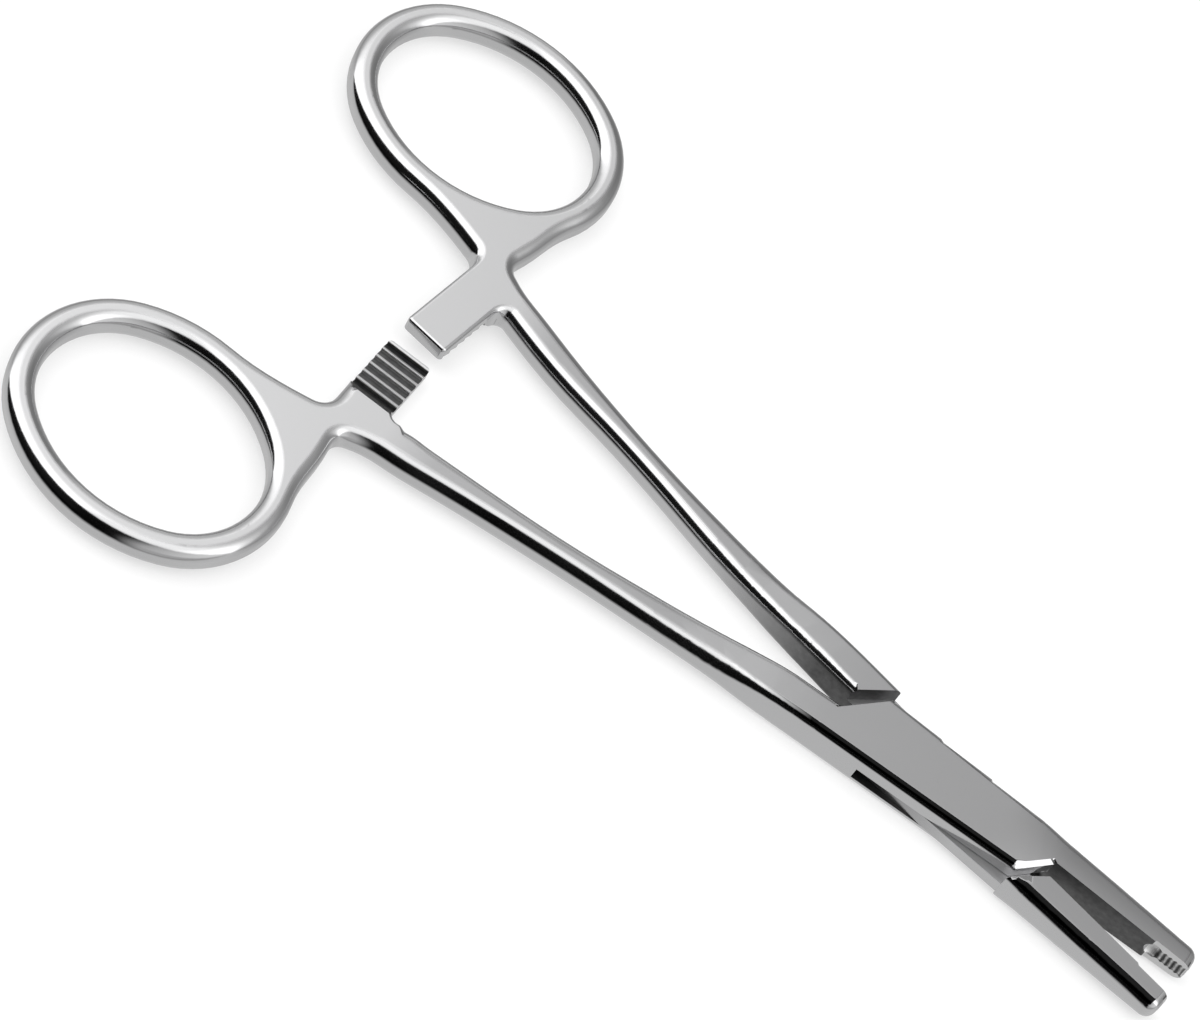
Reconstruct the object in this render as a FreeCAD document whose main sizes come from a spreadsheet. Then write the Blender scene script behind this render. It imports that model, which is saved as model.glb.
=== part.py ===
import FreeCAD, Part
import math
import os
import Sketcher

# Piercing ball pliers: two forged halves crossing in a box lock on one pivot pin.
# Each half is drawn closed, with its own finger ring on the -Y side and its jaw on +Y.
# The male half is the same drawing mirrored. Both are then swung open about the pin.
# Frame: millimetres, +X towards the jaw tips, +Z up, lying flat with the underside at z = 0.

doc = FreeCAD.newDocument("piercing_ball_pliers")
sheet = doc.addObject("Spreadsheet::Sheet", "sizes")

SIZES = [
    # heights of the forging
    ("lock_height", 4.6, "thickness at the box lock"),
    ("handle_height", 3.5, "thickness of the finger rings and shanks"),
    ("tip_height", 3.1, "thickness at the jaw tips"),
    ("rise_length", 20.0, "length over which the shank grows to the lock's thickness"),
    ("handle_round", 1.35, "rounding along the edges of rings and shanks"),
    ("lock_round", 0.8, "rounding along the edges of the lock"),
    ("jaw_round", 1.1, "rounding along the outer edges of the jaws"),
    ("bar_round", 0.4, "rounding along the outside of the ratchet bars"),
    # finger rings
    ("ring_back", 83.5, "pin to the middle of a finger ring, along X"),
    ("ring_out", 23.1, "middle plane to the middle of a finger ring, along Y"),
    ("hole_length", 25.4, "finger hole, long way"),
    ("hole_width", 20.4, "finger hole, short way"),
    ("ring_wire", 3.05, "width of the ring's wire seen from above"),
    ("ring_turn", 7.0, "degrees that the long axis of a ring turns outwards"),
    ("outer_join", 23.0, "degrees round the ring where the outer side of the shank meets it"),
    ("inner_join", 94.0, "degrees round the ring where its web to the shank starts"),
    # shanks
    ("front_back", 4.0, "front station of the shank, from the back end of the rise"),
    ("front_out", 3.4, "its centre line off the middle plane"),
    ("front_width", 3.75, "its width"),
    ("middle_out", 5.0, "centre line halfway between the stations, off the middle plane"),
    ("middle_width", 2.95, "width halfway between the stations"),
    ("rear_ahead", 22.5, "rear station of the shank, ahead of the ring's middle"),
    ("rear_out", 6.7, "its centre line off the middle plane"),
    ("rear_width", 3.85, "its width"),
    ("bow", 0.5, "how much further out the box half bows, and the male half in"),
    ("crotch_ahead", 15.2, "outer crotch of ring and shank, ahead of the ring's middle"),
    ("crotch_in", 13.0, "the same crotch, inwards of the ring's middle"),
    ("crotch_round", 1.6, "rounding of that crotch seen from above"),
    ("crotch_start", 203.0, "degrees of heading where that rounding starts"),
    ("crotch_end", 280.0, "degrees of heading where it ends"),
    # box lock
    ("lock_rear", 14.0, "pin to where the shank starts"),
    ("lock_front", 10.0, "pin to the front corner of the cheeks"),
    ("rear_half", 4.45, "middle plane to the near side of the lock at its rear"),
    ("front_half", 3.4, "middle plane to the near side of the lock at its front"),
    ("far_half", 4.15, "middle plane to the far side of the lock at its rear"),
    ("shoulder_angle", 49.0, "degrees between the ends of the cheeks and X"),
    ("shoulder_gap", 0.35, "gap between cheeks and shoulders when closed"),
    ("slot_radius", 9.4, "radius of the rounded ends of the slot"),
    ("tongue_height", 1.5, "thickness of the tongue"),
    ("upper_cheek", 2.1, "thickness of the upper cheek"),
    ("slide_gap", 0.05, "running clearance above, below and round the tongue"),
    ("shank_gap", 0.5, "gap between the shanks where they leave the lock, closed"),
    ("shank_part", 0.2, "how much further off each shank is a little way on"),
    ("part_length", 6.0, "that way"),
    ("pin_diameter", 3.0, "pivot pin"),
    ("pin_clearance", 0.04, "radial running clearance of the pin in the tongue"),
    # jaws
    ("jaw_length", 30.0, "pin to the jaw tips"),
    ("jaw_root_width", 3.5, "width of a jaw where it leaves the lock"),
    ("jaw_tip_width", 2.7, "width of a jaw at its tip"),
    ("jaw_corner", 1.2, "rounding of the outer corner at the tip"),
    ("jaw_gap", 0.1, "gap between the closed jaws"),
    ("bite_length", 4.3, "length of the set back bite at the tip"),
    ("bite_depth", 0.18, "how far the bite is set back from the jaw's flat"),
    ("trough_radius", 1.05, "radius of the round trough along the bite"),
    ("trough_depth", 0.5, "depth of the trough in the bite"),
    ("trough_pitch", 0.6, "pitch of the rings cut in the trough"),
    ("trough_rings", 5, "rings in each trough"),
    ("ring_depth", 0.18, "depth of the rings"),
    ("cup_radius", 1.15, "radius of the ball cup at the inner end of the trough"),
    ("cup_back", 3.9, "jaw tip to the middle of the ball cup"),
    ("cheek_bevel", 0.5, "bevel along the upper and lower edge of each cheek end"),
    # ratchet
    ("ratchet_ahead", 14.0, "middle of a ratchet bar, ahead of the ring's middle"),
    ("ratchet_width", 5.2, "width of a ratchet bar"),
    ("ratchet_reach", 3.6, "how far a bar passes the middle plane when closed"),
    ("ratchet_root", 14.6, "root of a bar, inwards of the ring's middle"),
    ("ratchet_step", 18.4, "step down to the teeth, inwards of the ring's middle"),
    ("ratchet_corner", 1.2, "rounding where a bar leaves the shank, seen from above"),
    ("ratchet_web", 2.0, "rounding where a bar leaves the ring's web, seen from above"),
    ("ratchet_lead", 0.5, "fall of the shank's edge towards a bar, ahead of it"),
    ("ratchet_ramp", 1.8, "length of the ramp from the shank down to the teeth"),
    ("ratchet_gap", 0.06, "clearance between the tooth tips of the two bars"),
    ("ratchet_bevel", 0.5, "corner rounding at the free end of a bar"),
    ("tooth_pitch", 1.2, "pitch of the ratchet teeth"),
    ("tooth_depth", 0.5, "depth of the ratchet teeth"),
    ("tooth_count", 6, "teeth on each bar"),
    # how it lies
    ("rest_opening", 7.4, "degrees between the halves as it lies"),
    ("frame_shift", 33.83, "pin to the middle of the length, along X"),
]
for row, (name, value, meaning) in enumerate(SIZES, start=1):
    sheet.set(f"A{row}", name)
    sheet.set(f"B{row}", str(value))
    sheet.set(f"C{row}", meaning)
    sheet.setAlias(f"B{row}", name)
doc.recompute()


def size(name):
    return float(sheet.get(name))


def vec(x, y, z=0.0):
    return FreeCAD.Vector(x, y, z)


def heading(degrees):
    return vec(math.cos(math.radians(degrees)), math.sin(math.radians(degrees)))


# One half drawn closed. side is +1 for the female half and -1 for its mirror image.
HALF_HEIGHT = size("lock_height") / 2
RING_CENTRE = (-size("ring_back"), -size("ring_out"))
HOLE = (size("hole_length") / 2, size("hole_width") / 2)
INNER = size("shank_gap") / 2
JAW_FACE = size("jaw_gap") / 2

# A finger hole is an oval of four arcs: two rounder ends and two flatter sides.
END_ROUND = 0.89 * HOLE[1]
END_OUT = HOLE[0] - END_ROUND
SIDE_ROUND = (END_OUT ** 2 + HOLE[1] ** 2 - END_ROUND ** 2) / (2 * (HOLE[1] - END_ROUND))
SIDE_OUT = SIDE_ROUND - HOLE[1]
ARC_JOINT = math.degrees(math.atan2(SIDE_OUT, END_OUT))


def ring_way(degrees, side):
    """Direction that lies so many degrees round the ring from its long axis."""
    way = heading(degrees - size("ring_turn"))
    return vec(way.x, side * way.y)


def ring_point(wire, degrees, side):
    """Point round the oval that faces that way, so far outside the finger hole."""
    facing = heading(degrees)
    reach = ring_way(degrees, side)
    if abs(facing.y) <= math.sin(math.radians(ARC_JOINT)):
        middle = ring_way(0, side) * math.copysign(END_OUT, facing.x)
        radius = END_ROUND + wire
    else:
        middle = ring_way(90, side) * -math.copysign(SIDE_OUT, facing.y)
        radius = SIDE_ROUND + wire
    return vec(RING_CENTRE[0], side * RING_CENTRE[1]) + middle + reach * radius


def ring_arcs(wire, start, end, side):
    """The arcs of the oval from one angle to a smaller one, clockwise as the female half is drawn."""
    joints = [turn + way * ARC_JOINT for turn in (360, 180, 0, -180, -360) for way in (1, -1)]
    stops = [start] + [joint for joint in joints if end + 1 < joint < start - 1] + [end]
    return [Part.Arc(ring_point(wire, a, side), ring_point(wire, (a + b) / 2, side),
                     ring_point(wire, b, side)) for a, b in zip(stops, stops[1:])]


def arc_from(start, way, end):
    """The arc that leaves one point in a given direction and ends at another."""
    chord = end - start
    lean = way - chord * (way.dot(chord) / chord.dot(chord))
    if lean.Length < 0.0005:
        return Part.LineSegment(start, end)
    rise = lean.normalize() * (chord.Length / 2 * math.tan(way.getAngle(chord) / 2))
    return Part.Arc(start, (start + end) * 0.5 + rise, end)


def arcs(points, first, last):
    """A smooth run of arcs through the points, two to each gap, with given end directions."""
    ways = [first]
    for before, point, after in zip(points, points[1:], points[2:]):
        one, two = point - before, after - point
        ways.append((one * (two.Length / one.Length) + two * (one.Length / two.Length)).normalize())
    ways.append(last)
    curves = []
    for start, end, away, home in zip(points, points[1:], ways, ways[1:]):
        gap = end - start
        along = gap.dot(away + home)
        turn = 2 * (1 - away.dot(home))
        length = gap.dot(gap) / (2 * along)
        if turn > 0.000001:
            length = (math.sqrt(along ** 2 + turn * gap.dot(gap)) - along) / turn
        meet = (start + end + (away - home) * length) * 0.5
        curves += [arc_from(start, away, meet), arc_from(end, home * -1, meet)]
    return curves


def station(name, edge, side):
    """Side of the shank at a station: edge is +1 for its inner side and -1 for its outer."""
    rear = size("ring_back") - size("rear_ahead")
    front = size("lock_rear") + size("rise_length") - size("front_back")
    back = {"front": front, "middle": (front + rear) / 2, "rear": rear}
    # the bow fades towards the lock and the ring
    share = {"front": 0.8, "middle": 1.0, "rear": 0.5}
    out = size(name + "_out") + side * size("bow") * share[name]
    return vec(-back[name], side * (-out + edge * size(name + "_width") / 2))


def rounded(points, radii):
    """A run of straight lines through the points, its inner corners rounded, as curves."""
    curves = []
    last = points[0]
    for before, corner, after, radius in zip(points, points[1:], points[2:], radii):
        to_before = (before - corner).normalize()
        to_after = (after - corner).normalize()
        half = to_before.getAngle(to_after) / 2
        start = corner + to_before * (radius / math.tan(half))
        end = corner + to_after * (radius / math.tan(half))
        inward = (to_before + to_after).normalize()
        middle = corner + inward * (radius / math.sin(half) - radius)
        curves += [Part.LineSegment(last, start), Part.Arc(start, middle, end)]
        last = end
    return curves + [Part.LineSegment(last, points[-1])]


def outline(side):
    """Ring, shank, lock and jaw of one half seen from above, closed."""
    def at(x, y):
        return vec(x, side * y)

    def toward(degrees):
        return heading(side * degrees)

    slope = math.tan(math.radians(size("shoulder_angle")))
    near_front = at(size("lock_front"), -size("front_half"))
    near_rear = at(-size("lock_rear"), -size("rear_half"))
    cheek_front = at(size("lock_front") + (size("front_half") + JAW_FACE) / slope, JAW_FACE)
    cheek_rear = at(-cheek_front.x, -INNER)
    far_rear = at(cheek_rear.x + (size("far_half") + INNER) / slope, size("far_half"))
    far_front = at(size("lock_front") + 1.0, size("jaw_root_width"))
    round_x = size("jaw_length") - size("jaw_corner")
    jaw_corner = at(round_x, size("jaw_tip_width"))
    tip_out = at(size("jaw_length"), size("jaw_tip_width") - size("jaw_corner"))
    diagonal = size("jaw_corner") * (1 - math.sqrt(0.5))
    tip_middle = at(size("jaw_length") - diagonal, size("jaw_tip_width") - diagonal)
    tip_in = at(size("jaw_length"), JAW_FACE)

    # the crotch between shank and ring: a round between two headings
    bend, first, last = size("crotch_round"), size("crotch_start"), size("crotch_end")
    middle_x = RING_CENTRE[0] + size("crotch_ahead") - bend * math.sin(math.radians(first))
    middle_y = RING_CENTRE[1] + size("crotch_in") + bend * math.cos(math.radians(first))

    def crotch(degrees):
        return at(middle_x + bend * math.sin(math.radians(degrees)),
                  middle_y - bend * math.cos(math.radians(degrees)))

    outer = [near_rear, station("front", -1, side), station("middle", -1, side),
             station("rear", -1, side), crotch(first)]
    # the ratchet bar between ring and shank, its root corners rounded
    corner, end, lead = size("ratchet_corner"), size("ratchet_bevel"), size("ratchet_lead")
    bar_back = RING_CENTRE[0] + size("ratchet_ahead") - size("ratchet_width") / 2
    bar_front = bar_back + size("ratchet_width")
    root = RING_CENTRE[1] + size("ratchet_root")
    step = RING_CENTRE[1] + size("ratchet_step") - lead
    web = at(bar_back - 2 * corner, root - lead)
    arm = at(bar_front + 2 * corner, step)
    run = [web, at(bar_back, root), at(bar_back, size("ratchet_reach")),
           at(bar_front, size("ratchet_reach")), at(bar_front, step - lead), arm]
    ratchet_curves = rounded(run, [size("ratchet_web"), end, end, corner])
    web_slope = (run[1] - run[0]).normalize()
    arm_slope = (run[5] - run[4]).normalize()
    wire, join_out, join_in = size("ring_wire"), size("outer_join"), size("inner_join")
    rim_start = ring_point(wire, join_out, side)
    rim_end = ring_point(wire, join_in, side)
    inner = [arm, station("rear", 1, side), station("middle", 1, side), station("front", 1, side),
             at(cheek_rear.x - size("part_length"), -INNER - size("shank_part")), cheek_rear]
    return [
        Part.LineSegment(near_front, near_rear),
        *arcs(outer, (near_rear - near_front).normalize(), toward(first)),
        Part.Arc(crotch(first), crotch((first + last) / 2), crotch(last)),
        *arcs([crotch(last), rim_start], toward(last), ring_way(join_out - 90, side)),
        *ring_arcs(wire, join_out, join_in - 360, side),
        *arcs([rim_end, web], ring_way(join_in - 90, side), web_slope),
        *ratchet_curves,
        *arcs(inner, arm_slope, vec(1, 0)),
        Part.LineSegment(cheek_rear, far_rear),
        Part.Arc(far_rear, far_front, jaw_corner),
        Part.Arc(jaw_corner, tip_middle, tip_out),
        Part.LineSegment(tip_out, tip_in),
        Part.LineSegment(tip_in, cheek_front),
        Part.LineSegment(cheek_front, near_front),
        *ring_arcs(0, ARC_JOINT, ARC_JOINT - 360, side),
    ]


def sketch(body, name, plane, curves, offset="0"):
    """A sketch on one of the body's own planes, moved along its normal by a named size."""
    drawing = body.newObject("Sketcher::SketchObject", name)
    support = [o for o in body.Origin.OriginFeatures if o.Role == plane][0]
    drawing.AttachmentSupport = [(support, "")]
    drawing.MapMode = "FlatFace"
    drawing.setExpression("AttachmentOffset.Base.z", offset)
    for curve in curves:
        drawing.addGeometry(curve, False)
    for index in range(len(curves)):
        drawing.addConstraint(Sketcher.Constraint("Block", index))
    return drawing


def solid(body, kind, name, drawing, length):
    """A pad or pocket of equal length to both sides of its sketch."""
    feature = body.newObject("PartDesign::" + kind, name)
    feature.Profile = drawing
    feature.SideType = "Symmetric"
    feature.setExpression("Length", length)
    drawing.Visibility = False
    doc.recompute()
    return feature


def loop(points):
    return [Part.LineSegment(a, b) for a, b in zip(points, points[1:] + points[:1])]


def height_cut(sign):
    """Side view of what is forged away above or below: low handles, full lock, tapered jaw."""
    low = sign * size("handle_height") / 2
    full = sign * HALF_HEIGHT
    thin = sign * size("tip_height") / 2
    end = size("jaw_length") + 1
    bend = 2.0
    level = size("lock_front") - 0.5
    taper = (thin - full) / (size("jaw_length") - level - bend)
    beyond = thin + taper
    outside = sign * (HALF_HEIGHT + 2)
    back = -size("ring_back") - size("hole_length")
    start = -size("lock_rear") - size("rise_length")
    rise = [vec(start, low), vec(-size("lock_rear"), full)]
    tapered = vec(level + 2 * bend, full + taper * bend)
    return [
        Part.LineSegment(vec(back, low), rise[0]),
        *arcs(rise, vec(1, 0), vec(1, 0)),
        Part.LineSegment(rise[-1], vec(level, full)),
        arc_from(vec(level, full), vec(1, 0), tapered),
        Part.LineSegment(tapered, vec(end, beyond)),
        Part.LineSegment(vec(end, beyond), vec(end, outside)),
        Part.LineSegment(vec(end, outside), vec(back, outside)),
        Part.LineSegment(vec(back, outside), vec(back, low)),
    ]


def is_wall(face):
    u0, u1, v0, v1 = face.ParameterRange
    return abs(face.normalAt((u0 + u1) / 2, (v0 + v1) / 2).z) < 0.2


def rounding_at(point):
    """Radius of the rounding at a place on the outline of the blank."""
    rise = -size("lock_rear") - size("rise_length")
    bar = RING_CENTRE[0] + size("ratchet_ahead")
    on_bar = abs(point.x - bar) < size("ratchet_width") / 2 + 0.01
    if on_bar and abs(point.y) < -(RING_CENTRE[1] + size("ratchet_step")) - 0.2:
        return size("bar_round")
    if on_bar and abs(point.y) < -(RING_CENTRE[1] + size("ratchet_root")):
        return size("bar_round")
    if point.x < rise + 0.1:
        return size("handle_round")
    if point.x < -size("lock_rear") + 0.1:
        share = (point.x - rise) / size("rise_length")
        return size("handle_round") + share * (size("lock_round") - size("handle_round"))
    if point.x < size("lock_front") + 0.1:
        return size("lock_round")
    return size("jaw_round")


def long_edges(shape):
    """Edges between an outer wall and the upper or lower side, with their radii at both ends."""
    names = []
    for number, edge in enumerate(shape.Edges, start=1):
        faces = shape.ancestorsOfType(edge, Part.Face)
        if len(faces) != 2 or is_wall(faces[0]) == is_wall(faces[1]):
            continue
        box = edge.BoundBox
        ends = [vertex.Point for vertex in edge.Vertexes]
        on_jaw_face = box.XMin > 9 and abs(box.Center.y) < 0.2 and box.YLength < 0.05
        run = abs(ends[-1].y - ends[0].y) / max(abs(ends[-1].x - ends[0].x), 0.001)
        on_cheek_end = len(ends) == 2 and 0.8 < run < 2.0 and -14 < box.Center.x < 14
        if not on_jaw_face and not on_cheek_end:
            start, end = edge.valueAt(edge.FirstParameter), edge.valueAt(edge.LastParameter)
            names.append((number, rounding_at(start), rounding_at(end)))
    return names


def forging(name, side):
    """The forged blank of one half, with its rounded edges."""
    body = doc.addObject("PartDesign::Body", name + "_forging")
    plan = sketch(body, name + "_plan", "XY_Plane", outline(side))
    blank = solid(body, "Pad", name + "_blank", plan, "sizes.lock_height")
    for sign, label in ((1, "_top"), (-1, "_under")):
        profile = sketch(body, name + label, "XZ_Plane", height_cut(sign))
        blank = solid(body, "Pocket", name + label + "_cut", profile, "sizes.ring_out * 8")
    edges = doc.addObject("Part::Fillet", name + "_rounds")
    edges.Base = body
    edges.Edges = long_edges(body.Shape)
    doc.recompute()
    return edges


def pattern(body, feature, name, axis, span, count):
    """Repeats a cut along one of the body's axes."""
    row = body.newObject("PartDesign::LinearPattern", name)
    row.Originals = [feature]
    direction = [o for o in body.Origin.OriginFeatures if o.Role == axis][0]
    row.Direction = (direction, [""])
    row.Reversed = span.startswith("-")
    row.setExpression("Length", span.lstrip("-"))
    row.setExpression("Occurrences", count)
    body.Tip = row
    doc.recompute()
    return row


def ratchet(body, name, side, up):
    """Halves the bar above its middle if up is +1, below it if -1, and cuts its teeth."""
    reach = size("ratchet_reach")
    crest = -up * size("ratchet_gap") / 2
    outside = up * size("handle_height")
    ramp = size("ratchet_ramp")
    step = RING_CENTRE[1] + size("ratchet_step") - size("ratchet_lead")
    halving = [vec(side * (step - ramp), outside), vec(side * step, outside / 2),
               vec(side * (step + ramp), crest), vec(side * (reach + 1), crest),
               vec(side * (reach + 1), outside)]
    where = "sizes.ratchet_ahead - sizes.ring_back"
    profile = sketch(body, name + "_bar_half", "YZ_Plane", loop(halving), where)
    solid(body, "Pocket", name + "_bar_halving", profile,
          "sizes.ratchet_width + 2 * sizes.ratchet_corner")
    # the first tooth stands inside the bar's end and each tooth keeps a narrow flat crest
    deep = crest - up * size("tooth_depth")
    flank = size("tooth_pitch") * 0.9
    last = reach - 0.3 * size("tooth_pitch")
    groove = [vec(side * (last - flank), crest + up), vec(side * (last - flank), crest),
              vec(side * last, deep), vec(side * last, crest + up)]
    tooth = sketch(body, name + "_tooth", "YZ_Plane", loop(groove), where)
    cut = solid(body, "Pocket", name + "_tooth_cut", tooth, "sizes.ratchet_width + 0.5")
    direction = "-" if side > 0 else ""
    return pattern(body, cut, name + "_teeth", "Y_Axis",
                   direction + "sizes.tooth_pitch * (sizes.tooth_count - 1)", "sizes.tooth_count")


def bite(body, name, side):
    """Set back bite at the jaw tip: a round trough with rings cut in it and a ball cup."""
    tip = size("jaw_length")
    start = tip - size("bite_length")
    face = JAW_FACE + size("bite_depth")
    step = [vec(start - 0.25, side * -1), vec(tip + 1, side * -1), vec(tip + 1, side * face),
            vec(start, side * face), vec(start - 0.25, side * JAW_FACE)]
    recess = sketch(body, name + "_bite_plan", "XY_Plane", loop(step))
    solid(body, "Pocket", name + "_bite", recess, "sizes.lock_height * 2")

    # half of the trough's outline along its axis, the rings as a zigzag
    pitch, radius = size("trough_pitch"), size("trough_radius")
    mouth = tip - pitch / 2
    zigzag = [vec(tip + 1, side * radius)]
    for ring in range(int(size("trough_rings"))):
        zigzag.append(vec(mouth - ring * pitch, side * radius))
        zigzag.append(vec(mouth - (ring + 0.5) * pitch, side * (radius - size("ring_depth"))))
    inner = tip - size("cup_back")
    half_trough = zigzag + [vec(inner, side * radius), vec(inner, 0), vec(tip + 1, 0)]
    rings = sketch(body, name + "_trough_plan", "XY_Plane", loop(half_trough))
    axis = f"{side} * (sizes.jaw_gap / 2 + sizes.bite_depth + sizes.trough_depth - sizes.trough_radius)"
    rings.setExpression("AttachmentOffset.Base.y", axis)
    trough = body.newObject("PartDesign::Groove", name + "_trough")
    trough.Profile = rings
    trough.ReferenceAxis = (rings, ["H_Axis"])
    trough.Angle = 360
    rings.Visibility = False
    doc.recompute()

    cup = body.newObject("PartDesign::SubtractiveSphere", name + "_cup")
    cup.AttachmentSupport = [([o for o in body.Origin.OriginFeatures if o.Role == "XY_Plane"][0], "")]
    cup.MapMode = "FlatFace"
    cup.setExpression("Radius", "sizes.cup_radius")
    cup.setExpression("AttachmentOffset.Base.x", "sizes.jaw_length - sizes.cup_back")
    cup.setExpression("AttachmentOffset.Base.y", axis)
    doc.recompute()
    return cup


def bevel_cheeks(body):
    """Bevels the upper and lower edge of the cheek ends that look towards the jaws."""
    angle = math.radians(size("shoulder_angle"))
    bevel = size("cheek_bevel")
    along = heading(size("shoulder_angle"))
    corner = vec(size("lock_front") + (size("front_half") + JAW_FACE) / math.tan(angle), JAW_FACE)
    length = (size("front_half") + JAW_FACE) / math.sin(angle) + 1
    middle = corner - along * (length / 2)
    for up, label in ((1, "upper"), (-1, "lower")):
        edge = up * HALF_HEIGHT
        cut = [vec(-bevel - 1, edge + up), vec(1, edge - up * (bevel + 1)), vec(1, edge + up)]
        profile = sketch(body, label + "_bevel_plan", "XZ_Plane", loop(cut))
        turn = FreeCAD.Rotation(vec(0, 1), size("shoulder_angle") - 90)
        profile.setExpression("AttachmentOffset.Base.z", None)
        profile.AttachmentOffset = FreeCAD.Placement(vec(middle.x, 0, -middle.y), turn)
        wedge = body.newObject("PartDesign::Pocket", label + "_cheek_bevel")
        wedge.Profile = profile
        wedge.SideType = "Symmetric"
        wedge.Length = length
        profile.Visibility = False
        doc.recompute()


SLOT_TOP = "(sizes.lock_height / 2 - sizes.upper_cheek)"
SLOT_MIDDLE = SLOT_TOP + " - sizes.slide_gap - sizes.tongue_height / 2"


def round_end(radius, degrees):
    return heading(degrees) * radius


def slot(body):
    """The slot of the female half: round ends, open to both sides of the lock."""
    radius = size("slot_radius")
    rear = 180 + math.degrees(math.asin(INNER / radius))
    front = math.degrees(math.asin(JAW_FACE / radius))
    far = radius + 1
    curves = [
        Part.LineSegment(vec(-16, -INNER), round_end(radius, rear)),
        Part.Arc(round_end(radius, rear), round_end(radius, 225), vec(0, -radius)),
        Part.LineSegment(vec(0, -radius), vec(16, -far)),
        Part.LineSegment(vec(16, -far), vec(16, JAW_FACE)),
        Part.LineSegment(vec(16, JAW_FACE), round_end(radius, front)),
        Part.Arc(round_end(radius, front), round_end(radius, 45), vec(0, radius)),
        Part.LineSegment(vec(0, radius), vec(-16, far)),
        Part.LineSegment(vec(-16, far), vec(-16, -INNER)),
    ]
    plan = sketch(body, "slot_plan", "XY_Plane", curves, SLOT_MIDDLE)
    return solid(body, "Pocket", "slot", plan, "sizes.tongue_height + 2 * sizes.slide_gap")


def bore(body, name, radius):
    """The pin's bore through the whole lock."""
    hole = sketch(body, name + "_bore_plan", "XY_Plane", [])
    hole.addGeometry(Part.Circle(vec(0, 0), vec(0, 0, 1), size("pin_diameter") / 2), False)
    hole.addConstraint(Sketcher.Constraint("Coincident", 0, 3, -1, 1))
    hole.addConstraint(Sketcher.Constraint("Radius", 0, size("pin_diameter") / 2))
    hole.setExpression("Constraints[1]", radius)
    return solid(body, "Pocket", name + "_bore", hole, "sizes.lock_height * 2")


def tongue(body):
    """The male half between its two shoulders, thinned to the tongue and rounded at its ends."""
    slope = math.tan(math.radians(size("shoulder_angle")))
    lean = size("shoulder_gap") / math.sin(math.radians(size("shoulder_angle")))
    front_x = size("lock_front") + (size("front_half") + JAW_FACE) / slope + lean
    rear_x = -size("lock_front") - (size("front_half") + JAW_FACE) / slope - lean
    high = 8.0
    reach = high / slope
    between = [vec(rear_x - reach, INNER - high), vec(front_x - reach, JAW_FACE - high),
               vec(front_x + reach, JAW_FACE + high), vec(rear_x + reach, INNER + high)]
    above = f"({SLOT_TOP} - sizes.slide_gap + sizes.lock_height) / 2"
    below = f"({SLOT_MIDDLE} - sizes.tongue_height / 2 - sizes.lock_height) / 2"
    upper = sketch(body, "upper_shoulders_plan", "XY_Plane", loop(between), above)
    solid(body, "Pocket", "upper_shoulders", upper, f"sizes.lock_height - ({SLOT_TOP} - sizes.slide_gap)")
    lower = sketch(body, "lower_shoulders_plan", "XY_Plane", loop(between), below)
    solid(body, "Pocket", "lower_shoulders", lower,
          f"sizes.lock_height + ({SLOT_MIDDLE} - sizes.tongue_height / 2)")
    radius = size("slot_radius") - size("slide_gap")
    rear = 180 - math.degrees(math.asin(INNER / radius))
    front = -math.degrees(math.asin(JAW_FACE / radius))
    curves = [
        Part.LineSegment(vec(-15, INNER), round_end(radius, rear)),
        Part.Arc(round_end(radius, rear), round_end(radius, 220), round_end(radius, 250)),
        Part.LineSegment(round_end(radius, 250), vec(-15, -radius)),
        Part.LineSegment(vec(-15, -radius), vec(-15, INNER)),
        Part.LineSegment(vec(15, -JAW_FACE), round_end(radius, front)),
        Part.Arc(round_end(radius, front), round_end(radius, 40), round_end(radius, 70)),
        Part.LineSegment(round_end(radius, 70), vec(15, radius)),
        Part.LineSegment(vec(15, radius), vec(15, -JAW_FACE)),
    ]
    ends = sketch(body, "tongue_ends_plan", "XY_Plane", curves)
    solid(body, "Pocket", "tongue_ends", ends, "sizes.lock_height * 2")
    # the sides of the tongue are ground flush with the box when closed
    fall = (size("rear_half") - size("front_half")) / (size("lock_rear") + size("lock_front"))
    stop = front_x - (size("jaw_root_width") + JAW_FACE) / slope
    near_stop = -size("front_half") + fall * (stop - size("lock_front"))
    flush = [vec(-12, -size("front_half") - fall * (12 + size("lock_front"))),
             vec(stop, near_stop), vec(stop - 1, -8), vec(-12, -8)]
    side = sketch(body, "tongue_side_plan", "XY_Plane", loop(flush))
    return solid(body, "Pocket", "tongue_side", side, "sizes.lock_height * 2")


def half(name, side):
    blank = forging(name, side)
    body = doc.addObject("PartDesign::Body", name)
    body.BaseFeature = blank
    doc.recompute()
    ratchet(body, name, side, side)
    bite(body, name, side)
    return body


def lay(item, share):
    """Swings a piece open about the pin and lays the instrument in the frame."""
    item.setExpression("Placement.Base.x", "sizes.frame_shift")
    item.setExpression("Placement.Base.z", "sizes.lock_height / 2")
    item.Placement = FreeCAD.Placement(vec(0, 0), FreeCAD.Rotation(vec(0, 0, 1), share))


def box_half():
    body = half("box_half", 1)
    slot(body)
    bevel_cheeks(body)
    bore(body, "box", "sizes.pin_diameter / 2")
    lay(body, size("rest_opening") / 2)
    return body


def male_half():
    body = half("male_half", -1)
    tongue(body)
    bore(body, "tongue", "sizes.pin_diameter / 2 + sizes.pin_clearance")
    lay(body, -size("rest_opening") / 2)
    return body


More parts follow.
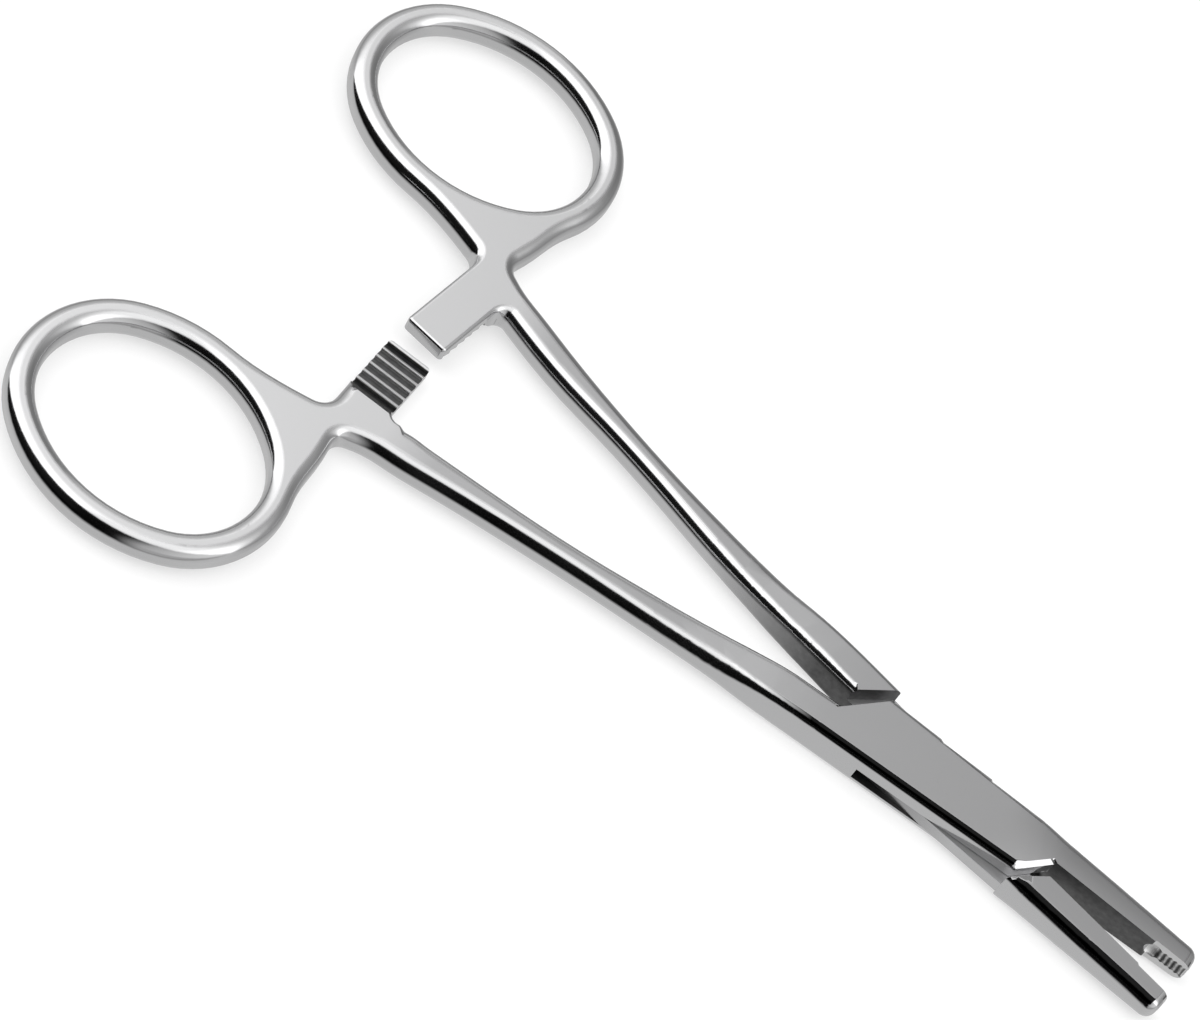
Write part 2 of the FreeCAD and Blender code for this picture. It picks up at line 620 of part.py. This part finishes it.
def pivot_pin():
    body = doc.addObject("PartDesign::Body", "pivot_pin")
    circle = sketch(body, "pin_plan", "XY_Plane", [])
    circle.addGeometry(Part.Circle(vec(0, 0), vec(0, 0, 1), size("pin_diameter") / 2), False)
    circle.addConstraint(Sketcher.Constraint("Coincident", 0, 3, -1, 1))
    circle.addConstraint(Sketcher.Constraint("Radius", 0, size("pin_diameter") / 2))
    circle.setExpression("Constraints[1]", "sizes.pin_diameter / 2")
    solid(body, "Pad", "pin", circle, "sizes.lock_height")
    lay(body, 0)
    return body


def main():
    os.makedirs("parts", exist_ok=True)
    pieces = [box_half(), male_half(), pivot_pin()]
    doc.recompute()
    for item in doc.Objects:
        if "Invalid" in item.State or "Error" in item.State:
            raise RuntimeError(f"{item.Name} did not build: {item.State}")
    for piece in pieces:
        shape = piece.Shape
        if shape.isNull() or not shape.isValid() or len(shape.Solids) != 1:
            raise RuntimeError(f"{piece.Name} is not one sound solid")
        box = shape.BoundBox
        print(piece.Name, round(shape.Volume, 2), [round(v, 2) for v in
              (box.XMin, box.YMin, box.ZMin, box.XMax, box.YMax, box.ZMax)])
        shape.exportStep(f"parts/{piece.Label}.step")


main()
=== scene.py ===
import math

import bmesh
import bpy
import numpy as np
from mathutils import Matrix, Vector


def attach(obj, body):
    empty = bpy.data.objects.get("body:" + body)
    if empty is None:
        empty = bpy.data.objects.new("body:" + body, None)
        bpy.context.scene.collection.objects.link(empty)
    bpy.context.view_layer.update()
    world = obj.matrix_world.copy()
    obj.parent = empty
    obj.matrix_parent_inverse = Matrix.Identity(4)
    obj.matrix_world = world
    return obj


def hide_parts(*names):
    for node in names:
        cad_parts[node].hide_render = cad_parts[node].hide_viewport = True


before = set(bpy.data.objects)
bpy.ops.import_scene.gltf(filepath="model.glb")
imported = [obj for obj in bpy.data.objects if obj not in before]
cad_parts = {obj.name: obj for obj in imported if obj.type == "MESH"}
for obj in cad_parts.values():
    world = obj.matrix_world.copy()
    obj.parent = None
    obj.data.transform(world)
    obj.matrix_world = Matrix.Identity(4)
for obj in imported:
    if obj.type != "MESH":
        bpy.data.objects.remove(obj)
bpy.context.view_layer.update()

# Places, in metres: the pin's axis along the instrument, and the middle height of the lock
pin_points = np.array([list(vertex.co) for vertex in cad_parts["pivot_pin"].data.vertices])
PIN_X = float(pin_points[:, 0].min() + pin_points[:, 0].max()) / 2
MID_Z = float(pin_points[:, 2].min() + pin_points[:, 2].max()) / 2
# How far each half is turned from the middle line as the instrument lies
REST = math.radians(3.7)

# Camera: its axes at the photograph's viewing angle, and its place from the middle of the lock
VIEW_RIGHT = Vector((0.7612, 0.5617, 0.3241))
VIEW_DOWN = Vector((0.6422, -0.5833, -0.4973))
VIEW_FORWARD = Vector((-0.0903, 0.5867, -0.8048))
VIEW_FROM = Vector((-0.00412, -0.26392, 0.36127))
LENS = 133.56
SENSOR_WIDTH = 36.0

# Colours of the steel: mirror polished, ground level faces, the darkest and lightest spots of the milled
# faces, darkened as painted shade, the bite with painted highlight on its crests and painted shade in the
# valleys between its rings, and the painted dark reflection along the crisp edge of lock and jaw
POLISHED = (0.62, 0.62, 0.625)
GROUND = (0.47, 0.47, 0.475)
# Milled colours: a real mottle, darkened as painted shade in the slot, the grooves, at the shoulder and
# between the shanks
MILLED_SHADE_DARK = (0.07, 0.07, 0.07)
MILLED_SHADE_LIGHT = (0.20, 0.20, 0.20)
# The bite's colour, also a painted highlight on the crests of the teeth and of the trough's rings; next,
# painted shade for the valleys between the rings
BITE_AND_CREST_HIGHLIGHT = (0.85, 0.85, 0.85)
VALLEY_SHADE = (0.16, 0.16, 0.16)
# Painted dark reflection, near black, along the near side of the edge of lock and jaw
PAINTED_DARK_REFLECTION = (0.01, 0.01, 0.01)

# Roughness of the polish, at its least and how much more in its dullest patches, of the level
# faces, of the bite and of the milled faces
MIRROR_ROUGH = 0.09
PATCH_ROUGH = 0.10
BRUSHED_ROUGH = 0.34
BITE_ROUGH = 0.45
MILLED_ROUGH = 0.42

# Grain: waves, hair lines and mottle as counts per metre, with the share that hair lines have in
# the height, and the strength and depth of the bump
WAVES = 160.0
HAIR_LINES = (600.0, 9000.0, 9000.0)
MOTTLE = 1400.0
HAIR_SHARE = 0.25
BUMP_STRENGTH = 0.10
BUMP_DEPTH = 0.00005

# Stretches of a half in its own millimetres, each with its low end, its high end and the soft width
# outside them: x from the pin to the tip, y outwards from the bite line, z up from the lock's middle
JAW_FLAT_X = (9.6, 25.6, 0.05)
JAW_FLAT_Y = (-0.03, 0.12, 0.02)
BITE_X = (25.4, 30.2, 0.05)
BITE_Y = (0.13, 0.95, 0.02)
TROUGH_X = (26.3, 29.75, 0.05)
TROUGH_Y = (0.27, 0.95, 0.02)
SLOT_X = (-13.0, 13.2, 0.05)
SLOT_Y = (-4.7, 4.7, 0.05)
SLOT_Z = (-1.42, 0.22, 0.01)
SHOULDER_X = (-16.0, -5.0, 0.05)
SHANK_END_X = (-18.0, -12.0, 16.0)
BAR_X = (-72.6, -66.4, 0.05)
TEETH_Y = (-4.0, 3.4, 0.02)
GROOVES_Z = (-0.60, -0.17, 0.03)
CREST_HIGHLIGHT_Z = (-0.15, -0.02, 0.03)
RAMP_Y = (-5.15, -3.6, 0.03)
RAMP_Z = (-0.10, 1.66, 0.03)
DARK_REFLECTION_LENGTH = (0.0, 60.0, 6.0)
DARK_REFLECTION_Z = (1.2, 2.4, 0.05)
TOP_X = (-60.0, 40.0, 6.0)
CROWN_X = (14.0, 31.0, 8.0)

# Where the painted dark reflection along the crisp edge starts, from the pin, on the box half and on the
# male half
BOX_DARK_REFLECTION_FROM = -15.0
MALE_DARK_REFLECTION_FROM = -2.0

# How a surface faces, as the part of its normal along an axis: low end, high end and soft width
WALL_Z = (-0.8, 0.8, 0.02)
SLOT_FACING_Y = (-0.93, 1.1, 0.02)
SHOULDER_FACING_X = (0.45, 1.1, 0.05)
INNER_FACING_Z = (-0.4, 0.4, 0.1)
INNER_FACING_Y = (0.7, 1.1, 0.1)
BAR_FACING_X = (-0.6, 0.6, 0.05)
DARK_REFLECTION_FACING_X = (-0.4, 0.22, 0.02)
DARK_REFLECTION_FACING_Y = (-1.1, -0.12, 0.02)
DARK_REFLECTION_FACING_Z = (0.60, 0.99, 0.006)
TOP_FACING_Z = (0.995, 1.1, 0.045)
CROWN_FACING_Z = (0.97, 1.1, 0.02)
# From here on a face is level enough to be brushed, fully so at the second value
BRUSHED_FACING = (0.95, 0.995)

# Rings in the trough, for their painted highlight and painted shade: pitch and one crest, in millimetres
# from the pin, and how narrow a crest is
RING_PITCH = 0.6
RING_CREST = 29.4
RING_NARROWING = 1.5

# Lean of the box jaw's top: at the bite line, and more with each millimetre outwards
CROWN_LEAN = 0.03
CROWN_LEAN_RISE = 0.045

# Facets this close, in metres, share their corners. Those within the first angle are one face, and
# an edge over the second angle stays crisp. A face over this area is a broad flat if it lies level
MERGE = 3e-7
FLAT = math.radians(0.2)
CRISP = math.radians(28)
BROAD = 1.5e-6
LEVEL = 0.97
BROAD_WEIGHT = 60

# Surroundings: brightness by degrees up from the far side, over the top and down the near side. The
# dark wall of the near side stands between these angles, and grey takes its place towards the jaws
LEVELS = [(0, 0.30), (25, 0.30), (38, 0.38), (46, 0.50), (54, 0.66), (66, 0.84), (84, 1.6), (108, 1.6),
          (118, 1.2), (124, 0.03), (130, 0.004), (203, 0.004), (214, 0.40), (228, 0.80), (270, 0.86),
          (330, 0.60), (360, 0.30)]
DARK_WALL = (118, 210)
GREY_WALL = 0.62
DARK_WALL_X = (-1.1, 0.26, 0.20)
# Brightness from the rings' end, 0, to the jaws' end, 1. The lower half is even all round
LEAN = [(0.0, 0.95), (0.38, 1.1), (0.41, 1.1), (0.43, 0.94), (0.447, 0.50), (0.465, 0.42),
        (0.52, 0.43), (0.70, 0.42), (0.85, 0.60), (1.0, 0.80)]
LOWER_HALF = 0.42
HORIZON = (-0.1, 0.1)
BRIGHTNESS = 2.0
# Nothing is brighter than the white that polished steel shows, so dark stripes keep even edges
WHITEST = 1.8

# Floor: half its width, its white, and the share of plain white that the camera sees in it
FLOOR_REACH = 1.5
FLOOR_WHITE = (0.93, 0.93, 0.93, 1.0)
FLOOR_GLOW = 0.6

# Lamps over the floor: place, power in watts and width
LAMPS = {"soft_left": (-0.5, -0.3, 1.2), "soft_right": (0.6, 0.3, 1.2)}
LAMP_POWER = 4.5
LAMP_WIDTH = 1.2


def make_camera():
    """Camera at the photograph's viewing angle, looking down over the finger rings' side."""
    data = bpy.data.cameras.new("camera")
    camera = bpy.data.objects.new("camera", data)
    bpy.context.scene.collection.objects.link(camera)
    turn = Matrix((VIEW_RIGHT, -VIEW_DOWN, -VIEW_FORWARD)).transposed().to_4x4()
    place = Vector((PIN_X, 0.0, MID_Z)) + VIEW_FROM
    camera.matrix_world = Matrix.Translation(place) @ turn
    data.sensor_width = SENSOR_WIDTH
    data.lens = LENS
    data.clip_start = 0.01
    data.clip_end = 20.0
    data.dof.use_dof = False
    bpy.context.scene.camera = camera


def new_group(name, inputs, outputs):
    """An empty node group with the named sockets, and its two end nodes."""
    group = bpy.data.node_groups.new(name, "ShaderNodeTree")
    for sockets, end in ((inputs, "INPUT"), (outputs, "OUTPUT")):
        for label, kind in sockets:
            group.interface.new_socket(label, in_out=end, socket_type="NodeSocket" + kind)
    return group, group.nodes.new("NodeGroupInput"), group.nodes.new("NodeGroupOutput")


def feed(tree, node, values):
    """Gives a node's inputs, in order, a socket to follow or a plain value."""
    for place, value in enumerate(values):
        if isinstance(value, bpy.types.NodeSocket):
            tree.links.new(value, node.inputs[place])
        else:
            node.inputs[place].default_value = value


def math_node(tree, operation, *values):
    """The result of a math node."""
    node = tree.nodes.new("ShaderNodeMath")
    node.operation = operation
    feed(tree, node, values)
    return node.outputs[0]


def vector_node(tree, operation, *values):
    """The result of a vector math node."""
    node = tree.nodes.new("ShaderNodeVectorMath")
    node.operation = operation
    feed(tree, node, values)
    return node.outputs[0]


def product(tree, *values):
    """All the values multiplied."""
    result = values[0]
    for value in values[1:]:
        result = math_node(tree, "MULTIPLY", result, value)
    return result


def strongest(tree, *masks):
    """The highest of the masks."""
    result = masks[0]
    for mask in masks[1:]:
        result = math_node(tree, "MAXIMUM", result, mask)
    return result


def climb(tree, value, start, end, high=1.0):
    """Goes from 0 to high as the value goes from start to end, and stays level outside."""
    node = tree.nodes.new("ShaderNodeMapRange")
    node.inputs["From Min"].default_value = start
    node.inputs["From Max"].default_value = end
    node.inputs["To Max"].default_value = high
    tree.links.new(value, node.inputs["Value"])
    return node.outputs[0]


def between(tree, value, low, high, soft):
    """1 where value lies between low and high, falling to 0 over the soft width outside."""
    return product(tree, climb(tree, value, low - soft, low), climb(tree, value, high + soft, high))


def blend(tree, mask, first, second, kind="RGBA"):
    """Goes from the first to the second with the mask: colours, or numbers of the kind FLOAT."""
    node = tree.nodes.new("ShaderNodeMix")
    node.data_type = kind
    tree.links.new(mask, node.inputs[0])
    places = (6, 7) if kind == "RGBA" else (2, 3)
    for place, value in zip(places, (first, second)):
        if isinstance(value, bpy.types.NodeSocket):
            tree.links.new(value, node.inputs[place])
        else:
            node.inputs[place].default_value = (*value, 1.0) if kind == "RGBA" else value
    return node.outputs[2 if kind == "RGBA" else 0]


def noise(tree, where, count, detail):
    """Soft noise with so many waves per unit of the given place."""
    node = tree.nodes.new("ShaderNodeTexNoise")
    node.inputs["Scale"].default_value = count
    node.inputs["Detail"].default_value = detail
    tree.links.new(where, node.inputs["Vector"])
    return node.outputs["Fac"]


def parts_of(tree, vector):
    """The three numbers of a vector."""
    node = tree.nodes.new("ShaderNodeSeparateXYZ")
    tree.links.new(vector, node.inputs[0])
    return node.outputs


def trough_valley_shade(tree, x):
    """Painted shade between the trough's rings: 0 on their crests and 1 between them, 1 less a raised
    cosine, narrowed.
    """
    turn = 2 * math.pi / RING_PITCH
    wave = math_node(tree, "COSINE", math_node(tree, "MULTIPLY_ADD", x, turn, -turn * RING_CREST))
    raised = math_node(tree, "MULTIPLY_ADD", wave, 0.5, 0.5)
    return math_node(tree, "SUBTRACT", 1.0, math_node(tree, "POWER", raised, RING_NARROWING))


def milled_and_shade_group():
    """Where a half is milled and not polished, and where light and shade are painted on it, from its own
    millimetres and its surface normal.

    Milled are the inner flat of the jaw, the slot of the box, the shoulder and the inner flat at
    the end of the shank, and the toothed side of the ratchet bar with its ramp; their dark colour is partly
    painted shade. The bite is bright and matt, the crests of the teeth and of the trough's rings carry a
    painted highlight, and painted shade darkens the valleys between the rings of the trough.
    The near side of the crisp ground edge along lock and jaw is painted with a dark reflection, and Crown is
    how far the top of the jaw leans outwards. Top is the level side of shank, lock and jaw, ground a little
    darker than the rings.
    """
    inputs = [("Place", "Vector"), ("Facing", "Vector"), ("Slot", "Float"), ("Teeth Up", "Float"),
              ("Dark Reflection From", "Float")]
    outputs = [(label, "Float") for label in ("Milled And Shade", "Bite And Crest Highlight", "Painted Dark Reflection", "Crown", "Valley Shade", "Top")]
    group, given, out = new_group("milled_and_shade", inputs, outputs)
    x, y, z = parts_of(group, given.outputs["Place"])
    facing_x, facing_y, facing_z = parts_of(group, given.outputs["Facing"])
    in_slot = given.outputs["Slot"]
    wall = between(group, facing_z, *WALL_Z)

    # Milled faces; their dark colour is partly painted shade, in the slot, the grooves, at the shoulder and
    # between the shanks near the lock
    flat = product(group, wall, between(group, y, *JAW_FLAT_Y), between(group, x, *JAW_FLAT_X))
    slot = product(group, in_slot, between(group, z, *SLOT_Z), between(group, facing_y, *SLOT_FACING_Y),
                   between(group, x, *SLOT_X), between(group, y, *SLOT_Y))
    shoulder = product(group, wall, between(group, facing_x, *SHOULDER_FACING_X),
                       between(group, x, *SHOULDER_X))
    facing_in = math_node(group, "MULTIPLY", facing_y, given.outputs["Teeth Up"])
    inner = product(group, between(group, facing_z, *INNER_FACING_Z),
                    between(group, facing_in, *INNER_FACING_Y), between(group, x, *SHANK_END_X))

    high = math_node(group, "MULTIPLY", z, given.outputs["Teeth Up"])
    bar = product(group, between(group, facing_x, *BAR_FACING_X), between(group, x, *BAR_X))
    toothed = product(group, bar, between(group, y, *TEETH_Y))
    grooves = product(group, toothed, between(group, high, *GROOVES_Z))
    # Painted highlight on the crests of the teeth
    crest_highlight = product(group, toothed, between(group, high, *CREST_HIGHLIGHT_Z))
    ramp = product(group, bar, between(group, y, *RAMP_Y), between(group, high, *RAMP_Z))
    group.links.new(strongest(group, flat, slot, grooves, ramp, shoulder, inner), out.inputs["Milled And Shade"])

    bite = product(group, wall, between(group, y, *BITE_Y), between(group, x, *BITE_X))
    group.links.new(strongest(group, bite, crest_highlight), out.inputs["Bite And Crest Highlight"])
    # Painted shade in the valleys between the trough's rings; their crests keep the painted highlight
    valley_shade = product(group, wall, trough_valley_shade(group, x), between(group, y, *TROUGH_Y),
                      between(group, x, *TROUGH_X))
    group.links.new(valley_shade, out.inputs["Valley Shade"])

    # Painted dark reflection: the near side of the rounding along lock and jaw, where polished steel mirrors
    # dark surroundings
    from_start = math_node(group, "SUBTRACT", x, given.outputs["Dark Reflection From"])
    painted_dark_reflection = product(group, between(group, facing_y, *DARK_REFLECTION_FACING_Y), between(group, facing_x, *DARK_REFLECTION_FACING_X),
                   between(group, facing_z, *DARK_REFLECTION_FACING_Z), between(group, from_start, *DARK_REFLECTION_LENGTH),
                   between(group, z, *DARK_REFLECTION_Z))
    group.links.new(painted_dark_reflection, out.inputs["Painted Dark Reflection"])

    level = math_node(group, "ABSOLUTE", facing_z)
    top = product(group, between(group, level, *TOP_FACING_Z), between(group, x, *TOP_X))
    group.links.new(top, out.inputs["Top"])

    lean = math_node(group, "MULTIPLY_ADD", y, CROWN_LEAN_RISE, CROWN_LEAN)
    crown = product(group, lean, between(group, facing_z, *CROWN_FACING_Z), between(group, x, *CROWN_X),
                    in_slot)
    group.links.new(crown, out.inputs["Crown"])
    return group


def polish_group():
    """Fine polishing: a faint waviness and hair lines as a normal, and a roughness that varies.

    The level tops and undersides are brushed satin and the roundings are mirrors.
    """
    group, _, out = new_group("polish", [], [("Roughness", "Float"), ("Normal", "Vector")])
    where = group.nodes.new("ShaderNodeTexCoord")
    waves = noise(group, where.outputs["Object"], WAVES, 2.0)
    stretch = group.nodes.new("ShaderNodeMapping")
    stretch.inputs["Scale"].default_value = HAIR_LINES
    group.links.new(where.outputs["Object"], stretch.inputs["Vector"])
    hair = noise(group, stretch.outputs["Vector"], 1.0, 3.0)

    rough = math_node(group, "MULTIPLY_ADD", waves, PATCH_ROUGH, MIRROR_ROUGH)
    level = math_node(group, "ABSOLUTE", parts_of(group, where.outputs["Normal"])["Z"])
    brushed = climb(group, level, *BRUSHED_FACING, BRUSHED_ROUGH)
    group.links.new(strongest(group, rough, brushed), out.inputs["Roughness"])

    bump = group.nodes.new("ShaderNodeBump")
    bump.inputs["Strength"].default_value = BUMP_STRENGTH
    bump.inputs["Distance"].default_value = BUMP_DEPTH
    height = math_node(group, "MULTIPLY_ADD", hair, HAIR_SHARE, waves)
    group.links.new(height, bump.inputs["Height"])
    group.links.new(bump.outputs["Normal"], out.inputs["Normal"])
    return group


def steel(name, polish, colour):
    """Polished stainless steel of one even colour."""
    material = bpy.data.materials.new(name)
    material.use_nodes = True
    tree = material.node_tree
    shader = tree.nodes["Principled BSDF"]
    shader.inputs["Metallic"].default_value = 1.0
    shader.inputs["Base Color"].default_value = (*colour, 1.0)
    fine = tree.nodes.new("ShaderNodeGroup")
    fine.name = "fine polish"
    fine.node_tree = polish
    tree.links.new(fine.outputs["Roughness"], shader.inputs["Roughness"])
    tree.links.new(fine.outputs["Normal"], shader.inputs["Normal"])
    return material


def own_place(tree, where, side):
    """The place in the half's own millimetres, from the pin. The male half is mirrored."""
    from_pin = vector_node(tree, "SUBTRACT", where, (PIN_X, 0.0, MID_Z))
    turn = tree.nodes.new("ShaderNodeMapping")
    turn.inputs["Rotation"].default_value = (0.0, 0.0, -side * REST)
    turn.inputs["Scale"].default_value = (1000.0, 1000.0, 1000.0)
    tree.links.new(from_pin, turn.inputs["Vector"])
    return vector_node(tree, "MULTIPLY", turn.outputs["Vector"], (1.0, side, 1.0))


def leaned(tree, normal, crown):
    """The normal leaned along the object's Y by the crown."""
    outwards = tree.nodes.new("ShaderNodeCombineXYZ")
    tree.links.new(crown, outwards.inputs["Y"])
    in_world = tree.nodes.new("ShaderNodeVectorTransform")
    in_world.vector_type = "VECTOR"
    in_world.convert_from = "OBJECT"
    in_world.convert_to = "WORLD"
    tree.links.new(outwards.outputs[0], in_world.inputs[0])
    return vector_node(tree, "NORMALIZE", vector_node(tree, "ADD", normal, in_world.outputs[0]))


def half_steel(name, polish, milled_and_shade, side):
    """Steel of one half: polished outside, rougher where it is milled, with painted shade, painted
    highlights and a painted dark reflection in its colour.

    The side is 1 for the box half and -1 for the male half.
    """
    material = steel(name, polish, POLISHED)
    tree = material.node_tree
    shader = tree.nodes["Principled BSDF"]
    fine = tree.nodes["fine polish"]
    where = tree.nodes.new("ShaderNodeTexCoord")
    marks = tree.nodes.new("ShaderNodeGroup")
    marks.node_tree = milled_and_shade
    marks.inputs["Slot"].default_value = max(side, 0)
    marks.inputs["Teeth Up"].default_value = side
    marks.inputs["Dark Reflection From"].default_value = BOX_DARK_REFLECTION_FROM if side > 0 else MALE_DARK_REFLECTION_FROM
    tree.links.new(own_place(tree, where.outputs["Object"], side), marks.inputs["Place"])
    tree.links.new(where.outputs["Normal"], marks.inputs["Facing"])

    # Milled faces: a real mottle, darkened to near black as painted shade
    mottle = noise(tree, where.outputs["Object"], MOTTLE, 3.0)
    milled_shade = blend(tree, mottle, MILLED_SHADE_DARK, MILLED_SHADE_LIGHT)
    # Painted highlight on the crests and painted shade in the valleys of the trough's rings
    bite = blend(tree, marks.outputs["Valley Shade"], BITE_AND_CREST_HIGHLIGHT, VALLEY_SHADE)
    colour = blend(tree, marks.outputs["Top"], POLISHED, GROUND)
    colour = blend(tree, marks.outputs["Bite And Crest Highlight"], colour, bite)
    colour = blend(tree, marks.outputs["Milled And Shade"], colour, milled_shade)
    # Painted dark reflection along the near edge of lock and jaw
    colour = blend(tree, marks.outputs["Painted Dark Reflection"], colour, PAINTED_DARK_REFLECTION)
    tree.links.new(colour, shader.inputs["Base Color"])

    rough = blend(tree, marks.outputs["Bite And Crest Highlight"], fine.outputs["Roughness"], BITE_ROUGH, "FLOAT")
    rough = blend(tree, marks.outputs["Milled And Shade"], rough, MILLED_ROUGH, "FLOAT")
    tree.links.new(rough, shader.inputs["Roughness"])
    normal = leaned(tree, fine.outputs["Normal"], marks.outputs["Crown"])
    tree.links.new(normal, shader.inputs["Normal"])
    return material


def flatten(piece):
    """Keeps the weighted normals on the curves and gives each broad flat its own plain normal."""
    seen = piece.evaluated_get(bpy.context.evaluated_depsgraph_get())
    shaded = seen.to_mesh()
    normals = np.empty(len(shaded.loops) * 3)
    shaded.corner_normals.foreach_get("vector", normals)
    seen.to_mesh_clear()
    normals = normals.reshape(-1, 3)
    for face in piece.data.polygons:
        if face.area > BROAD and abs(face.normal.z) > LEVEL:
            normals[face.loop_start:face.loop_start + face.loop_total] = face.normal
    piece.modifiers.clear()
    piece.data.normals_split_custom_set([tuple(normal) for normal in normals])


def finished_copy(node, body, material):
    """The forged piece with its facets joined, smooth where it curves and crisp at its edges."""
    name = node + "_steel"
    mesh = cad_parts[node].data.copy()
    mesh.name = name
    work = bmesh.new()
    work.from_mesh(mesh)
    bmesh.ops.remove_doubles(work, verts=work.verts, dist=MERGE)
    bmesh.ops.dissolve_limit(work, verts=work.verts, edges=work.edges, angle_limit=FLAT)
    work.to_mesh(mesh)
    work.free()
    mesh.shade_smooth()
    mesh.set_sharp_from_angle(angle=CRISP)
    piece = bpy.data.objects.new(name, mesh)
    bpy.context.scene.collection.objects.link(piece)
    weigh = piece.modifiers.new("weigh", "WEIGHTED_NORMAL")
    weigh.keep_sharp = True
    weigh.weight = BROAD_WEIGHT
    flatten(piece)
    mesh.materials.clear()
    mesh.materials.append(material)
    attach(piece, body)
    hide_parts(node)


def stage():
    """A plain white floor under the instrument, which polished steel doesn't mirror."""
    mesh = bpy.data.meshes.new("floor")
    corners = [(-FLOOR_REACH, -FLOOR_REACH, 0), (FLOOR_REACH, -FLOOR_REACH, 0),
               (FLOOR_REACH, FLOOR_REACH, 0), (-FLOOR_REACH, FLOOR_REACH, 0)]
    mesh.from_pydata(corners, [], [(0, 1, 2, 3)])
    floor = bpy.data.objects.new("floor", mesh)
    bpy.context.scene.collection.objects.link(floor)
    material = bpy.data.materials.new("floor_white")
    material.use_nodes = True
    tree = material.node_tree
    shader = tree.nodes["Principled BSDF"]
    shader.inputs["Base Color"].default_value = FLOOR_WHITE
    shader.inputs["Roughness"].default_value = 1.0
    shader.inputs["Specular IOR Level"].default_value = 0.0
    white = tree.nodes.new("ShaderNodeEmission")
    seen = tree.nodes.new("ShaderNodeLightPath")
    mix = tree.nodes.new("ShaderNodeMixShader")
    glow = math_node(tree, "MULTIPLY", seen.outputs["Is Camera Ray"], FLOOR_GLOW)
    feed(tree, mix, (glow, shader.outputs[0], white.outputs[0]))
    tree.links.new(mix.outputs[0], tree.nodes["Material Output"].inputs["Surface"])
    mesh.materials.append(material)
    floor.visible_glossy = False


def level_ramp(tree, place, stops):
    """A ramp of greys through the given places and levels."""
    node = tree.nodes.new("ShaderNodeValToRGB")
    ramp = node.color_ramp
    for index, (stop, level) in enumerate(stops):
        element = ramp.elements[index] if index < 2 else ramp.elements.new(stop)
        element.position = stop
        element.color = (level, level, level, 1.0)
    tree.links.new(place, node.inputs[0])
    return node.outputs["Color"]


def surroundings(tree):
    """How bright the surroundings are: by the angle over the top, times a lean along X."""
    where = tree.nodes.new("ShaderNodeTexCoord")
    x, y, z = parts_of(tree, where.outputs["Generated"])
    angle = math_node(tree, "ARCTAN2", z, y)
    around = math_node(tree, "FRACT", math_node(tree, "DIVIDE", angle, 2 * math.pi))
    dark = [(degrees / 360, level) for degrees, level in LEVELS]
    grey = [(degrees / 360, GREY_WALL if DARK_WALL[0] < degrees < DARK_WALL[1] else level)
            for degrees, level in LEVELS]
    walls = blend(tree, between(tree, x, *DARK_WALL_X), level_ramp(tree, around, grey),
                  level_ramp(tree, around, dark))
    lean = level_ramp(tree, math_node(tree, "MULTIPLY_ADD", x, 0.5, 0.5), LEAN)
    share = blend(tree, climb(tree, z, *HORIZON), LOWER_HALF, lean, "FLOAT")
    return math_node(tree, "MINIMUM", product(tree, walls, share, BRIGHTNESS), WHITEST)


def studio():
    """Surroundings: grey far wall, bright ceiling, dark camera side, and white behind the object."""
    world = bpy.data.worlds.new("studio")
    bpy.context.scene.world = world
    world.use_nodes = True
    tree = world.node_tree
    tree.nodes.clear()
    light = tree.nodes.new("ShaderNodeBackground")
    feed(tree, light, ((1, 1, 1, 1), surroundings(tree)))
    white = tree.nodes.new("ShaderNodeBackground")
    feed(tree, white, ((1, 1, 1, 1), 1.0))
    seen = tree.nodes.new("ShaderNodeLightPath")
    mix = tree.nodes.new("ShaderNodeMixShader")
    feed(tree, mix, (seen.outputs["Is Camera Ray"], light.outputs[0], white.outputs[0]))
    out = tree.nodes.new("ShaderNodeOutputWorld")
    tree.links.new(mix.outputs[0], out.inputs["Surface"])


def lamp(name, place):
    """A soft lamp over the floor that polished steel doesn't mirror."""
    data = bpy.data.lights.new(name, "AREA")
    data.energy = LAMP_POWER
    data.size = LAMP_WIDTH
    light = bpy.data.objects.new(name, data)
    bpy.context.scene.collection.objects.link(light)
    light.location = place
    light.rotation_euler = (-Vector(place)).to_track_quat("-Z", "Y").to_euler()
    light.visible_glossy = False


make_camera()
studio()
stage()
for name, place in LAMPS.items():
    lamp(name, place)

polish = polish_group()
milled_and_shade = milled_and_shade_group()
finished_copy("box_half", "box_side", half_steel("box_steel", polish, milled_and_shade, 1))
finished_copy("male_half", "male_side", half_steel("male_steel", polish, milled_and_shade, -1))
finished_copy("pivot_pin", "box_side", steel("pin_steel", polish, GROUND))

bpy.context.scene.view_settings.view_transform = "Standard"
